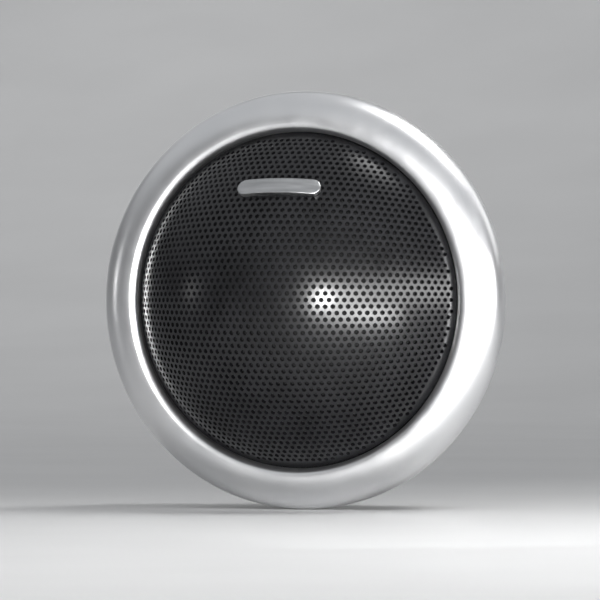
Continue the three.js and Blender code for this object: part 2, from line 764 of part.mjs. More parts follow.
addPart("rear_housing", rearHousing(), BLACK_MOULDED);
addPart("chamber_seal", chamberSeal(), BLACK_RUBBER);
aroundAxis(SCREW_COUNT, 90, bodyScrew).forEach((screw, i) => {
  addPart(`body_screw_${i + 1}`, screw, PLATED_STEEL);
});

addPart("terminal_board", terminalBoard(), BOARD_GREEN);
addPart("capacitor", capacitor(), SLEEVE_BLUE);
addPart("connector_shell", connectorShell(), BLACK_MOULDED);
sides.forEach((side, i) => {
  addPart(`capacitor_lead_${i + 1}`, capacitorLead(side), TINNED);
  addPart(`terminal_pin_${i + 1}`, terminalPin(side), BRASS);
});

[RED_WIRE, BLACK_WIRE].forEach((insulation, i) => {
  addPart(`solder_tab_${i + 1}`, turnedTo(solderTab(), 180 * i), BRASS);
  addPart(`lead_wire_${i + 1}`, turnedTo(leadWire(), 180 * i), COPPER);
  addPart(`hookup_wire_${i + 1}`, turnedTo(hookupWire(), 180 * i), insulation);
});

export default tweeter;
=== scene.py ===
"""A car door tweeter on a plain table: the looks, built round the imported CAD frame.

Lengths are millimetres until dress() turns a piece into metres. The table, the lamps and the
camera are placed in metres. The listener is toward -Y.
"""

import math

import bmesh
import bpy
from mathutils import Matrix, Vector
from mathutils.geometry import delaunay_2d_cdt


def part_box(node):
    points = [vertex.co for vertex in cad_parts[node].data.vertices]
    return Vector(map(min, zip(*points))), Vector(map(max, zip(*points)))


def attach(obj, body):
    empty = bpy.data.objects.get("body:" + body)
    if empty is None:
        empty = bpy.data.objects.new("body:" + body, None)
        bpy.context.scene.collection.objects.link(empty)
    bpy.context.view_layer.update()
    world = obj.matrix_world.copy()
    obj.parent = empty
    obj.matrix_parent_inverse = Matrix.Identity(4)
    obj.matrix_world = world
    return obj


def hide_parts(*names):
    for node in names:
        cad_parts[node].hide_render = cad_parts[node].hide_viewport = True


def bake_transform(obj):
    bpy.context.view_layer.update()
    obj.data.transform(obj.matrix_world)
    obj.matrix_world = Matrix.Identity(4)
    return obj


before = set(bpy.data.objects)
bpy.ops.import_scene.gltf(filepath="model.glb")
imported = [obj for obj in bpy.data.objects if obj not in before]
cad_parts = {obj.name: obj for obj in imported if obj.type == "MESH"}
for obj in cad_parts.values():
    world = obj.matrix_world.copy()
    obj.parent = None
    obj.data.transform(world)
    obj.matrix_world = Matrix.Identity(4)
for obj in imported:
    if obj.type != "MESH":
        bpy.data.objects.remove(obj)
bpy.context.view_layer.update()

MM = 0.001
HOUSING = "housing"
DIAPHRAGM = "diaphragm"

RING_STEPS = 384  # facets round the silver ring
ROUND_STEPS = 192  # round the other large turned pieces
INNER_STEPS = 96  # round the ones inside
FILLET_STEPS = 4
SHARP_DEGREES = 32
TOUCH = 0.02  # left between pieces that lie on each other
PAST = 1  # how far a cutter, or a piece to join, runs past the face that it meets

SCREW_ANGLES = (90, 210, 330)
TONGUE_ANGLES = (45, 135, 225, 315)
SIDES = (-1, 1)


# ---- Places read from the frame ----------------------------------------------------------


def corners(node):
    """A CAD node's lowest and highest corner."""
    low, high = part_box(node)
    return low / MM, high / MM


def span(node):
    """A CAD node's reach in X, which is a turned node's radius, and its front and rear depth."""
    low, high = corners(node)
    return high.x, low.y, high.y


# The press tool of the grille: a spherical bulge, a short wall and a hem.
SHEET = 0.6
BULGE_R = 23.1
BULGE_RIM_Y = -4.2
HEM_R, BULGE_FRONT, HEM_REAR = span("grille")
BULGE_HIGH = BULGE_RIM_Y - BULGE_FRONT
SPHERE_R = (BULGE_R**2 + BULGE_HIGH**2) / (2 * BULGE_HIGH)
SPHERE_Y = BULGE_FRONT + SPHERE_R

# The spigot with its web, and the stack behind it.
FLANGE_FRONT, FLANGE_REAR = span("flange_ring")[1:]
RECESS_R = 22.4
SPIGOT_R = 24.3
SPIGOT_INNER_R = 22.9
SPIGOT_REAR = 12
WEB_FRONT, WEB_REAR = 1, 2.6
PILLAR_AT = 17.9
BOARD_FRONT, BOARD_REAR = span("terminal_board")[1:]
POST_AT = 8.6
PIN_X = 1.25
LEAD_X, LEAD_Z = 7.4, 4.5
SOCKET_Z = -3.5


# ---- Mesh helpers ------------------------------------------------------------------------


def add_mesh(name, points, faces):
    mesh = bpy.data.meshes.new(name)
    mesh.from_pydata([tuple(p) for p in points], [], faces)
    piece = bpy.data.objects.new(name, mesh)
    bpy.context.scene.collection.objects.link(piece)
    return piece


def edit(piece, change):
    """Runs change(bm) on the piece's mesh."""
    bm = bmesh.new()
    bm.from_mesh(piece.data)
    change(bm)
    bm.to_mesh(piece.data)
    bm.free()
    return piece


def face_outward(piece):
    return edit(piece, lambda bm: bmesh.ops.recalc_face_normals(bm, faces=bm.faces))


def weld(piece, distance=0.001):
    return edit(piece, lambda bm: bmesh.ops.remove_doubles(bm, verts=bm.verts, dist=distance))


def settle(piece):
    """Applies the piece's modifiers to its mesh."""
    graph = bpy.context.evaluated_depsgraph_get()
    made = bpy.data.meshes.new_from_object(piece.evaluated_get(graph))
    piece.modifiers.clear()
    piece.data = made
    return piece


def modified(piece, kind, **settings):
    modifier = piece.modifiers.new(kind.lower(), kind)
    for key, value in settings.items():
        setattr(modifier, key, value)
    return settle(piece)


def combine(piece, others, operation):
    """Cuts the others from the piece, or joins them to it, and removes them."""
    for other in others:
        modified(piece, "BOOLEAN", operation=operation, solver="EXACT", object=other)
        bpy.data.objects.remove(other)
    return piece


def cut(piece, others):
    return combine(piece, others, "DIFFERENCE")


def join(piece, others):
    return combine(piece, others, "UNION")


def soften(piece, width, segments=2):
    """Rounds the sharp edges."""
    return modified(
        piece,
        "BEVEL",
        width=width,
        segments=segments,
        limit_method="ANGLE",
        angle_limit=math.radians(SHARP_DEGREES),
        use_clamp_overlap=True,
    )


def turn(piece, degrees):
    """Turns a piece that was made at +X round the sound axis, toward +Z."""
    piece.data.transform(Matrix.Rotation(-math.radians(degrees), 4, "Y"))
    return piece


def move(piece, x=0, y=0, z=0):
    piece.data.transform(Matrix.Translation((x, y, z)))
    return piece


def direction(azimuth, elevation):
    """Azimuth 0 is in front of the tweeter and 90 at its right as the listener sees it."""
    a, e = math.radians(azimuth), math.radians(elevation)
    return Vector((math.sin(a) * math.cos(e), -math.cos(a) * math.cos(e), math.sin(e)))


def circle(radius, x=0, z=0, steps=32):
    angles = [2 * math.pi * k / steps for k in range(steps)]
    return [(x + radius * math.cos(a), z + radius * math.sin(a)) for a in angles]


def filleted(outline, steps=FILLET_STEPS):
    """A closed outline from corners (a, b, fillet), each rounded to its own radius."""
    points = []
    for i, (a, b, fillet) in enumerate(outline):
        if fillet <= 0:
            points.append((a, b))
            continue
        here = Vector((a, b))
        back = (Vector(outline[i - 1][:2]) - here).normalized()
        on = (Vector(outline[(i + 1) % len(outline)][:2]) - here).normalized()
        half = back.angle(on) / 2
        centre = here + (back + on).normalized() * (fillet / math.sin(half))
        start = here + back * (fillet / math.tan(half)) - centre
        end = here + on * (fillet / math.tan(half)) - centre
        for k in range(steps + 1):
            spoke = start.lerp(end, k / steps).normalized() * fillet
            points.append(tuple(centre + spoke))
    return points


def ellipse(r, y, reach_r, reach_y, start, end, steps):
    """Points (r, y) on an ellipse. Angle 0 points outward and 90 to the front."""
    points = []
    for i in range(steps + 1):
        angle = math.radians(start + (end - start) * i / steps)
        points.append((r + reach_r * math.cos(angle), y - reach_y * math.sin(angle)))
    return points


def cap(centre_y, radius, reach, steps):
    """Points (r, y) on a sphere from its front pole out to the radius called reach."""
    angles = [math.asin(reach / radius) * i / steps for i in range(steps + 1)]
    return [(radius * math.sin(a), centre_y - radius * math.cos(a)) for a in angles]


def turned(name, profile, steps=ROUND_STEPS, radius_at=None):
    """A solid of revolution about Y. A profile that reaches the axis starts and ends there.

    radius_at(r, y, share of the turn) can make the surface unround, as for a thread.
    """
    points, rows = [], []
    for r, y in profile:
        if r < 1e-6:
            rows.append([len(points)] * steps)
            points.append((0, y, 0))
            continue
        rows.append(range(len(points), len(points) + steps))
        for k in range(steps):
            angle = 2 * math.pi * k / steps
            at = radius_at(r, y, k / steps) if radius_at else r
            points.append((at * math.cos(angle), y, at * math.sin(angle)))
    open_ended = profile[0][0] < 1e-6
    faces = []
    for i in range(len(rows) - 1 if open_ended else len(rows)):
        here, there = rows[i], rows[(i + 1) % len(rows)]
        for k in range(steps):
            n = (k + 1) % steps
            loop = list(dict.fromkeys((here[k], here[n], there[n], there[k])))
            if len(loop) > 2:
                faces.append(loop)
    return face_outward(add_mesh(name, points, faces))


def washer(name, inner_r, outer_r, front, rear, fillet, steps=INNER_STEPS):
    outline = [(inner_r, front), (outer_r, front), (outer_r, rear), (inner_r, rear)]
    return turned(name, filleted([(r, y, fillet) for r, y in outline]), steps)


def disc(name, radius, front, rear, fillet, steps=INNER_STEPS):
    section = [(-radius, front, 0), (radius, front, fillet), (radius, rear, fillet), (-radius, rear, 0)]
    return turned(name, [(0, front), *filleted(section)[1:-1], (0, rear)], steps)


def prism(name, outline, low, high):
    """An outline in X and Z made solid between two depths in Y."""
    count = len(outline)
    points = [(x, y, z) for y in (low, high) for x, z in outline]
    sides = [(k, (k + 1) % count, count + (k + 1) % count, count + k) for k in range(count)]
    ends = [range(count), range(2 * count - 1, count - 1, -1)]
    return face_outward(add_mesh(name, points, [*sides, *map(tuple, ends)]))


def across(name, outline, wide):
    """An outline in X and Y made solid across Z."""
    piece = prism(name, outline, -wide / 2, wide / 2)
    piece.data.transform(Matrix(((1, 0, 0, 0), (0, 0, 1, 0), (0, 1, 0, 0), (0, 0, 0, 1))))
    return face_outward(piece)


def block(name, low, high):
    outline = [(low[0], low[2]), (high[0], low[2]), (high[0], high[2]), (low[0], high[2])]
    return prism(name, outline, low[1], high[1])


def rectangle(wide, high, x=0, z=0, fillet=0):
    signs = [(-1, -1), (1, -1), (1, 1), (-1, 1)]
    return filleted([(x + i * wide / 2, z + j * high / 2, fillet) for i, j in signs])


def around(angles, make):
    return [turn(make(), angle) for angle in angles]


def pegs(radius, x, z, low, high, steps=32):
    """Two round pegs side by side, as cutters or as pieces to join."""
    return [prism("peg", circle(radius, side * x, z, steps), low, high) for side in SIDES]


def tube(name, route, radius, sides=16, smooth=6):
    """A round wire along a smooth curve through the route's points."""
    curve = bpy.data.curves.new(name, "CURVE")
    curve.dimensions = "3D"
    curve.resolution_u = smooth
    curve.bevel_depth = radius
    curve.bevel_resolution = (sides - 4) // 2
    curve.use_fill_caps = True
    spline = curve.splines.new("BEZIER")
    spline.bezier_points.add(len(route) - 1)
    for point, there in zip(spline.bezier_points, route, strict=True):
        point.co = there
        point.handle_left_type = point.handle_right_type = "AUTO"
    drawn = bpy.data.objects.new(name, curve)
    bpy.context.scene.collection.objects.link(drawn)
    graph = bpy.context.evaluated_depsgraph_get()
    mesh = bpy.data.meshes.new_from_object(drawn.evaluated_get(graph))
    bpy.data.objects.remove(drawn)
    piece = bpy.data.objects.new(name, mesh)
    bpy.context.scene.collection.objects.link(piece)
    return face_outward(weld(piece, 0.2 * radius))


def dress(piece, look):
    """Turns a piece into metres and gives it its material and shading."""
    piece.data.transform(Matrix.Scale(MM, 4))
    piece.data.materials.clear()
    piece.data.materials.append(look)
    piece.data.shade_smooth()
    piece.data.set_sharp_from_angle(angle=math.radians(SHARP_DEGREES))
    modified(piece, "WEIGHTED_NORMAL", keep_sharp=True)
    return piece


def place(piece, body, slot, look, *nodes):
    """Dresses a piece, sets the body it rides on and hides the CAD nodes it stands for."""
    dress(piece, look)
    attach(piece, body)
    if nodes:
        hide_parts(*nodes)
    return piece


# ---- Material helpers --------------------------------------------------------------------


class Look:
    """A Principled material and a short way to add the nodes that drive it."""

    def __init__(self, name, **sockets):
        self.material = bpy.data.materials.new(name)
        self.material.use_nodes = True
        self.tree = self.material.node_tree
        self.shader = self.tree.nodes["Principled BSDF"]
        self.feed(self.shader, **sockets)
        self.place = self.tree.nodes.new("ShaderNodeTexCoord").outputs["Object"]

    def feed(self, made, **values):
        """Sets or links input sockets by name, with _ for a space."""
        for socket, value in values.items():
            target = made.inputs[socket.replace("_", " ")]
            if isinstance(value, bpy.types.NodeSocket):
                self.tree.links.new(value, target)
            else:
                target.default_value = value
        return made

    def stretched(self, x, y, z):
        mapping = self.tree.nodes.new("ShaderNodeMapping")
        return self.feed(mapping, Vector=self.place, Scale=(x, y, z)).outputs["Vector"]

    def noise(self, size, detail=3.0, roughness=0.5, vector=None):
        """Cloudy noise whose blotches are about size millimetres across."""
        made = self.tree.nodes.new("ShaderNodeTexNoise")
        vector = vector or self.place
        self.feed(made, Vector=vector, Scale=1 / (size * MM), Detail=detail, Roughness=roughness)
        return made.outputs["Fac"]

    def cells(self, size):
        made = self.tree.nodes.new("ShaderNodeTexVoronoi")
        return self.feed(made, Vector=self.place, Scale=1 / (size * MM)).outputs["Distance"]

    def threads(self, pitch, direction):
        """Even ridges at a pitch in millimetres. A wave texture has one ridge in 0.314 units."""
        made = self.tree.nodes.new("ShaderNodeTexWave")
        made.bands_direction = direction
        self.feed(made, Vector=self.place, Scale=math.pi / (10 * pitch * MM))
        return made.outputs["Fac"]

    def weave(self, pitch):
        """Threads that cross, highest where a thread along X meets one along Z."""
        made = self.tree.nodes.new("ShaderNodeMath")
        made.operation = "MULTIPLY"
        for socket, way in zip(made.inputs[:2], "XZ", strict=True):
            self.tree.links.new(self.threads(pitch, way), socket)
        return made.outputs["Value"]

    def colours(self, value, *stops):
        """Mixes colours (place, (r, g, b)) by a value."""
        ramp = self.tree.nodes.new("ShaderNodeValToRGB")
        elements = ramp.color_ramp.elements
        while len(elements) < len(stops):
            elements.new(1.0)
        for element, (where, rgb) in zip(elements, stops, strict=True):
            element.position = where
            element.color = (*rgb, 1)
        self.feed(ramp, Fac=value)
        self.feed(self.shader, Base_Color=ramp.outputs["Color"])

    def rough(self, value, low, high):
        made = self.tree.nodes.new("ShaderNodeMapRange")
        self.feed(made, Value=value, From_Min=0.3, From_Max=0.7, To_Min=low, To_Max=high)
        self.feed(self.shader, Roughness=made.outputs["Result"])

    def bumps(self, *layers):
        """Adds bump layers (height, depth in millimetres), one on another."""
        normal = None
        for height, depth in layers:
            bump = self.tree.nodes.new("ShaderNodeBump")
            self.feed(bump, Height=height, Distance=depth * MM)
            if normal:
                self.feed(bump, Normal=normal)
            normal = bump.outputs["Normal"]
        self.feed(self.shader, Normal=normal)
        return self.material


# ---- Materials ---------------------------------------------------------------------------

# Below about this roughness the denoiser takes a bright metal for a mirror and leaves specks.
SATIN = 0.28


def satin_silver():
    """Fine blasted and anodised silver, a little cloudy at the scale of a fingertip."""
    look = Look("satin_silver", Metallic=1.0)
    look.colours(look.noise(11), (0.3, (0.74, 0.745, 0.755)), (0.7, (0.80, 0.80, 0.805)))
    look.rough(look.noise(2.5, detail=6), SATIN, 0.33)
    return look.bumps((look.noise(1.1, detail=2), 0.0008))


def badge_metal():
    look = Look("badge_metal", Metallic=1.0)
    drawn = look.noise(0.5, detail=2, vector=look.stretched(0.08, 1, 1))
    look.colours(drawn, (0.3, (0.4, 0.405, 0.41)), (0.7, (0.5, 0.505, 0.51)))
    look.rough(drawn, SATIN, 0.42)
    return look.bumps((drawn, 0.004))


def black_mesh():
    """Satin black coating on punched sheet, with the faint orange-peel of powder coat."""
    look = Look("black_mesh", Specular_IOR_Level=0.4)
    look.colours(look.noise(4.5), (0.3, (0.005, 0.005, 0.0055)), (0.7, (0.009, 0.009, 0.010)))
    look.rough(look.noise(1.4), 0.22, 0.27)
    return look.bumps((look.noise(0.7, detail=2), 0.006))


def black_cloth():
    look = Look("black_cloth", Roughness=0.95, Sheen_Weight=0.15)
    weave = look.weave(0.35)
    # painted shade: darker in the low gaps between threads, lighter where the threads cross and stand highest
    look.colours(weave, (0.0, (0.004, 0.004, 0.004)), (1.0, (0.012, 0.012, 0.013)))
    return look.bumps((weave, 0.05))


def black_moulding():
    """Spark-eroded black plastic: a fine even grain, with slight flow marks."""
    look = Look("black_moulding", Specular_IOR_Level=0.45)
    flow = look.noise(16, vector=look.stretched(1, 0.3, 1))
    grain = look.noise(0.35, detail=2, roughness=0.6)
    look.colours(flow, (0.3, (0.018, 0.0185, 0.020)), (0.7, (0.028, 0.0285, 0.030)))
    look.rough(grain, 0.46, 0.62)
    return look.bumps((grain, 0.02))


def black_foam():
    """Closed-cell foam, with small burst cells on its cut faces; the colour is painted darker in the hollow
    of each cell, as shade.
    """
    look = Look("black_foam", Roughness=0.92, Sheen_Weight=0.1)
    pores_and_shade = look.cells(0.5)
    # painted shade: the colour is darkest at each cell's hollow, where the bump below sinks
    look.colours(pores_and_shade, (0.0, (0.008, 0.008, 0.008)), (0.6, (0.028, 0.028, 0.029)))
    return look.bumps((look.noise(2), 0.05), (pores_and_shade, 0.09))


def damping_wadding():
    look = Look("damping_wadding", Roughness=0.96, Sheen_Weight=0.2)
    pores_and_shade = look.cells(0.9)
    # painted shade: the colour is darkest in the hollow of each cell, where the bump below sinks
    look.colours(pores_and_shade, (0.0, (0.01, 0.01, 0.011)), (0.7, (0.06, 0.06, 0.063)))
    return look.bumps((pores_and_shade, 0.25))


def coated_silk():
    """A fine weave sunk in a soft, slightly tacky coating."""
    look = Look("coated_silk", Coat_Weight=0.35, Coat_Roughness=0.35)
    weave = look.weave(0.25)
    look.colours(look.noise(5), (0.3, (0.022, 0.022, 0.028)), (0.7, (0.036, 0.036, 0.044)))
    look.rough(look.noise(2), 0.5, 0.66)
    return look.bumps((weave, 0.012))


def former_aluminium():
    look = Look("former_aluminium", Metallic=1.0)
    rolled = look.noise(0.4, detail=2, vector=look.stretched(1, 0.05, 1))
    look.colours(rolled, (0.3, (0.68, 0.69, 0.70)), (0.7, (0.78, 0.79, 0.80)))
    look.rough(rolled, SATIN, 0.4)
    return look.bumps((rolled, 0.004))


def copper_winding():
    look = Look("copper_winding", Metallic=1.0, Coat_Weight=0.6, Coat_Roughness=0.12)
    look.colours(look.noise(1.1), (0.3, (0.52, 0.20, 0.08)), (0.7, (0.68, 0.30, 0.14)))
    look.rough(look.noise(0.7), 0.2, 0.32)
    return look.bumps((look.noise(0.4), 0.003))


def grey_felt():
    look = Look("grey_felt", Roughness=0.98, Sheen_Weight=0.35)
    fibres = look.noise(0.6, detail=6, roughness=0.75, vector=look.stretched(1, 0.4, 0.55))
    look.colours(fibres, (0.3, (0.07, 0.068, 0.064)), (0.7, (0.19, 0.185, 0.175)))
    return look.bumps((fibres, 0.12))


def plated_steel():
    """Bright zinc with a faint spangle and a slight yellow and blue passivation."""
    look = Look("plated_steel", Metallic=1.0)
    zinc = [(0.0, (0.52, 0.54, 0.58)), (0.4, (0.60, 0.60, 0.58)), (0.8, (0.66, 0.64, 0.60))]
    look.colours(look.cells(1.4), *zinc)
    look.rough(look.noise(1.1), SATIN, 0.4)
    return look.bumps((look.noise(0.55), 0.004))


def nickel_magnet():
    look = Look("nickel_magnet", Metallic=1.0)
    look.colours(look.noise(3), (0.3, (0.60, 0.59, 0.56)), (0.7, (0.68, 0.67, 0.65)))
    look.rough(look.noise(1.6), 0.14, 0.24)
    return look.bumps((look.noise(0.4), 0.002))


def black_rubber():
    look = Look("black_rubber", Specular_IOR_Level=0.35)
    look.colours(look.noise(3), (0.3, (0.010, 0.010, 0.010)), (0.7, (0.020, 0.020, 0.020)))
    look.rough(look.noise(1.1), 0.6, 0.8)
    return look.bumps((look.noise(0.33), 0.01))


def board_green():
    """Solder mask over a glass weave that shows through faintly."""
    look = Look("board_green", Coat_Weight=0.5, Coat_Roughness=0.15)
    weave = look.weave(0.6)
    look.colours(weave, (0.0, (0.006, 0.060, 0.020)), (1.0, (0.012, 0.11, 0.038)))
    look.rough(look.noise(2), 0.3, 0.42)
    return look.bumps((weave, 0.008))


def capacitor_sleeve():
    look = Look("capacitor_sleeve", Coat_Weight=0.3, Coat_Roughness=0.1)
    look.colours(look.noise(4), (0.3, (0.010, 0.026, 0.13)), (0.7, (0.015, 0.036, 0.17)))
    look.rough(look.noise(1.4), 0.22, 0.34)
    return look.bumps((look.noise(2.8, detail=2, vector=look.stretched(3, 1, 1)), 0.02))


def tinned_wire():
    look = Look("tinned_wire", Metallic=1.0)
    look.colours(look.noise(1.1), (0.3, (0.58, 0.58, 0.57)), (0.7, (0.70, 0.70, 0.69)))
    look.rough(look.noise(0.8), SATIN, 0.38)
    return look.bumps((look.noise(0.4), 0.006))


def terminal_brass():
    look = Look("terminal_brass", Metallic=1.0)
    rolled = look.noise(0.5, detail=2, vector=look.stretched(1, 0.1, 1))
    look.colours(rolled, (0.3, (0.58, 0.40, 0.15)), (0.7, (0.74, 0.54, 0.25)))
    look.rough(rolled, SATIN, 0.38)
    return look.bumps((rolled, 0.004))


def insulation(name, dark, light):
    look = Look(name, Coat_Weight=0.2, Coat_Roughness=0.2)
    look.colours(look.noise(2), (0.3, dark), (0.7, light))
    look.rough(look.noise(1.1), 0.34, 0.46)
    return look.bumps((look.noise(0.7), 0.01))


SILVER = satin_silver()
BADGE = badge_metal()
MESH = black_mesh()
CLOTH = black_cloth()
MOULDING = black_moulding()
FOAM = black_foam()
WADDING = damping_wadding()
SILK = coated_silk()
ALUMINIUM = former_aluminium()
COPPER = copper_winding()
FELT = grey_felt()
STEEL = plated_steel()
NICKEL = nickel_magnet()
RUBBER = black_rubber()
BOARD = board_green()
SLEEVE = capacitor_sleeve()
TINNED = tinned_wire()
BRASS = terminal_brass()
RED = insulation("red_insulation", (0.30, 0.010, 0.008), (0.40, 0.018, 0.012))
BLACK = insulation("black_insulation", (0.010, 0.010, 0.010), (0.022, 0.022, 0.022))


# ---- Front trim --------------------------------------------------------------------------


def build_bezel():
    """The convex ring: a round shoulder, a crest near the inside, and a rolled inner lip."""
    outer_r, crest_y, skirt_y = span("bezel_ring")
    crest_r, inner_r, skirt_inner_r = 24.5, 23.3, 28.2
    shoulder_y, lip_y = -1.4, -4.2
    hem_r, hem_y, under_y = 24.8, -3.15, -2.45
    skirt = [(skirt_inner_r, under_y), (skirt_inner_r, skirt_y + 0.1), (skirt_inner_r + 0.1, skirt_y)]
    edge = ellipse(outer_r - 0.2, skirt_y - 0.2, 0.2, 0.2, -90, 0, 4)
    shoulder = ellipse(crest_r, shoulder_y, outer_r - crest_r, shoulder_y - crest_y, 0, 90, 32)
    lip = ellipse(crest_r, lip_y, crest_r - inner_r, lip_y - crest_y, 90, 180, 16)[1:]
    under = [(inner_r, hem_y), (hem_r, hem_y), (hem_r, under_y)]
    ring = turned("bezel_trim", skirt + edge + shoulder + lip + under, RING_STEPS)
    place(ring, HOUSING, "satin_silver", SILVER, "bezel_ring")


HOLE_PITCH = 1.05
HOLE_R = 0.34
HOLE_SIDES = 12
PLAIN_EDGE = 0.5


def hole_centres(reach):
    """The punching pattern: a close-packed lattice of holes inside a radius."""
    row_step = HOLE_PITCH * math.sqrt(3) / 2
    last_row, last_column = int(reach / row_step), int(reach / HOLE_PITCH) + 1
    lattice = [
        ((column + row % 2 / 2) * HOLE_PITCH, row * row_step)
        for row in range(-last_row, last_row + 1)
        for column in range(-last_column, last_column + 1)
    ]
    return [centre for centre in lattice if math.hypot(*centre) < reach]


def punched_blank(radius):
    """The flat sheet before it is pressed: its points and the triangles between the holes."""
    points = circle(radius, steps=ROUND_STEPS)
    for u, v in hole_centres(radius - PLAIN_EDGE - HOLE_R):
        points += circle(HOLE_R, u, v, HOLE_SIDES)
    flat, _, faces, *_ = delaunay_2d_cdt([Vector(p) for p in points], [], [], 0, 1e-6, False)

    def hole(corner):
        return max(-1, (corner - ROUND_STEPS) // HOLE_SIDES)

    kept = [face for face in faces if hole(face[0]) < 0 or len({hole(i) for i in face}) > 1]
    return flat, kept


def build_grille():
    """Punched sheet pressed over the bulge, with a short wall and a hem."""
    rim = SPHERE_R * math.asin(BULGE_R / SPHERE_R)
    flat, faces = punched_blank(rim)
    points = []
    for u, v in flat:
        distance = math.hypot(u, v)
        angle = distance / SPHERE_R
        r = SPHERE_R * math.sin(angle)
        share = r / distance if distance else 0
        points.append((u * share, SPHERE_Y - SPHERE_R * math.cos(angle), v * share))
    bend = 0.35
    hem_front = HEM_REAR - SHEET
    corner = ellipse(BULGE_R + bend, hem_front - bend, bend, bend, 180, 270, 6)
    for r, y in [(BULGE_R, BULGE_RIM_Y), *corner, (HEM_R, hem_front)]:
        points += [(x, y, z) for x, z in circle(r, steps=ROUND_STEPS)]
    first = len(flat)
    for start in range(first, len(points) - ROUND_STEPS, ROUND_STEPS):
        for k in range(ROUND_STEPS):
            n = (k + 1) % ROUND_STEPS
            faces.append((start + k, start + n, start + ROUND_STEPS + n, start + ROUND_STEPS + k))
    sheet = face_outward(weld(add_mesh("mesh_dome", points, faces), 1e-4))
    pole = min(sheet.data.polygons, key=lambda face: face.center.y)
    if pole.normal.y > 0:
        edit(sheet, lambda bm: bmesh.ops.reverse_faces(bm, faces=bm.faces))
    modified(sheet, "SOLIDIFY", thickness=SHEET, offset=-1, use_even_offset=True)
    return place(sheet, HOUSING, "black_mesh", MESH, "grille")


def build_badge():
    """A plain bar that hugs the bulge: made flat, then bent over it."""
    wide, tall, thick, above = 11.8, 2.3, 0.88, 15.3
    slices = 24
    bar = prism("badge_plain_bar", rectangle(wide, tall, fillet=tall / 2 - 0.01), -thick, 0)
    soften(bar, width=0.28, segments=4)

    def slice_up(bm):
        for i in range(1, slices):
            x = wide * (i / slices - 0.5)
            everything = bm.verts[:] + bm.edges[:] + bm.faces[:]
            bmesh.ops.bisect_plane(bm, geom=everything, plane_co=(x, 0, 0), plane_no=(1, 0, 0))

    edit(bar, slice_up)
    for vertex in bar.data.vertices:
        x, y, z = vertex.co
        out = direction(math.degrees(x / SPHERE_R), math.degrees(z / SPHERE_R))
        vertex.co = out * (SPHERE_R + TOUCH - y)
    bar.data.transform(Matrix.Rotation(-math.asin(above / SPHERE_R), 4, "X"))
    move(bar, y=SPHERE_Y)
    place(bar, HOUSING, "badge_metal", BADGE, "badge_bar")


def build_cloth(mesh_dome):
    """The cloth bonded behind the mesh: a thin shell with the same bulge."""
    outer_r, front, rear = span("grille_cloth")
    thick = 0.4
    radius = SPHERE_Y - front
    outside = cap(SPHERE_Y, radius, outer_r, 48)
    inside = cap(SPHERE_Y, radius - thick, outer_r - thick, 48)
    cloth = turned("acoustic_cloth", outside + [(outer_r, rear), (outer_r - thick, rear)] + inside[::-1])
    place(cloth, HOUSING, "black_cloth", CLOTH, "grille_cloth")


def build_gasket():
    """The foam ring between the flange and the door panel."""
    inner_r = 25.9
    outer_r, front, rear = span("panel_gasket")
    gasket = washer("panel_foam", inner_r, outer_r, front, rear, fillet=0.15, steps=ROUND_STEPS)
    place(gasket, HOUSING, "black_foam", FOAM, "panel_gasket")


# ---- Housings ----------------------------------------------------------------------------


def build_flange():
    """The flat ring that lies over the panel and carries the silver ring."""
    inner_r, outer_r = SPIGOT_R + TOUCH, 28
    flange = washer("flange", inner_r, outer_r, FLANGE_FRONT, FLANGE_REAR, fillet=0.15, steps=ROUND_STEPS)
    place(flange, HOUSING, "black_moulding", MOULDING, "flange_ring")


def slot_cutter(angle):
    """The U-shaped slot round a spring tongue: two sides and the free end."""
    near, far = 21.5, 26  # from the axis
    half, wide = 3, 1  # the tongue's half width and the slot's width
    start, catch, root = 2.65, 3.1, 11  # depths of the slot's front and the tongue's two ends
    outline = [(-half - wide, start), (half + wide, start), (half + wide, root), (half, root)]
    outline += [(half, catch), (-half, catch), (-half, root), (-half - wide, root)]
    cutter = across("cutter", outline, far - near)
    return turn(move(cutter, z=(near + far) / 2), angle - 90)


def build_front_housing():
    """The spigot with four spring tongues, the web, the motor collar and three screw pillars."""
    collar_r, collar_inner_r, collar_rear = 17.1, 15.5, 6.2
    edge = 0.15
    body = turned("front_moulding", filleted([
        (RECESS_R, FLANGE_FRONT, edge),
        (SPIGOT_R, FLANGE_FRONT, edge),
        (SPIGOT_R, SPIGOT_REAR, 0.3),
        (SPIGOT_INNER_R, SPIGOT_REAR, edge),
        (SPIGOT_INNER_R, WEB_REAR, 0.3),
        (collar_r, WEB_REAR, 0.3),
        (collar_r, collar_rear, edge),
        (collar_inner_r, collar_rear, edge),
        (collar_inner_r, WEB_FRONT, edge),
        (RECESS_R, WEB_FRONT, 0),
    ]))
    cut(body, [slot_cutter(angle) for angle in TONGUE_ANGLES])
    wedge = [(23.6, 3.15), (25.6, 3.15), (25.6, 3.6), (24.2, 9), (23.6, 9)]
    barb_wide = 5.6
    join(body, around(TONGUE_ANGLES, lambda: across("barb", wedge, barb_wide)))
    pillar, pilot = circle(1.6, PILLAR_AT), circle(0.95, PILLAR_AT)
    pilot_front, pillar_rear = 11.4, 19.75
    join(body, around(SCREW_ANGLES, lambda: prism("pillar", pillar, WEB_REAR - PAST, pillar_rear)))
    cut(body, around(SCREW_ANGLES, lambda: prism("pilot", pilot, pilot_front, pillar_rear + PAST)))
    tab_slot = (17.75, 0, -1.25), (18.65, 3.6, 1.25)
    cut(body, around((0, 180), lambda: block("slot", *tab_slot)))
    soften(body, 0.1)
    place(body, HOUSING, "black_moulding", MOULDING, "front_housing")


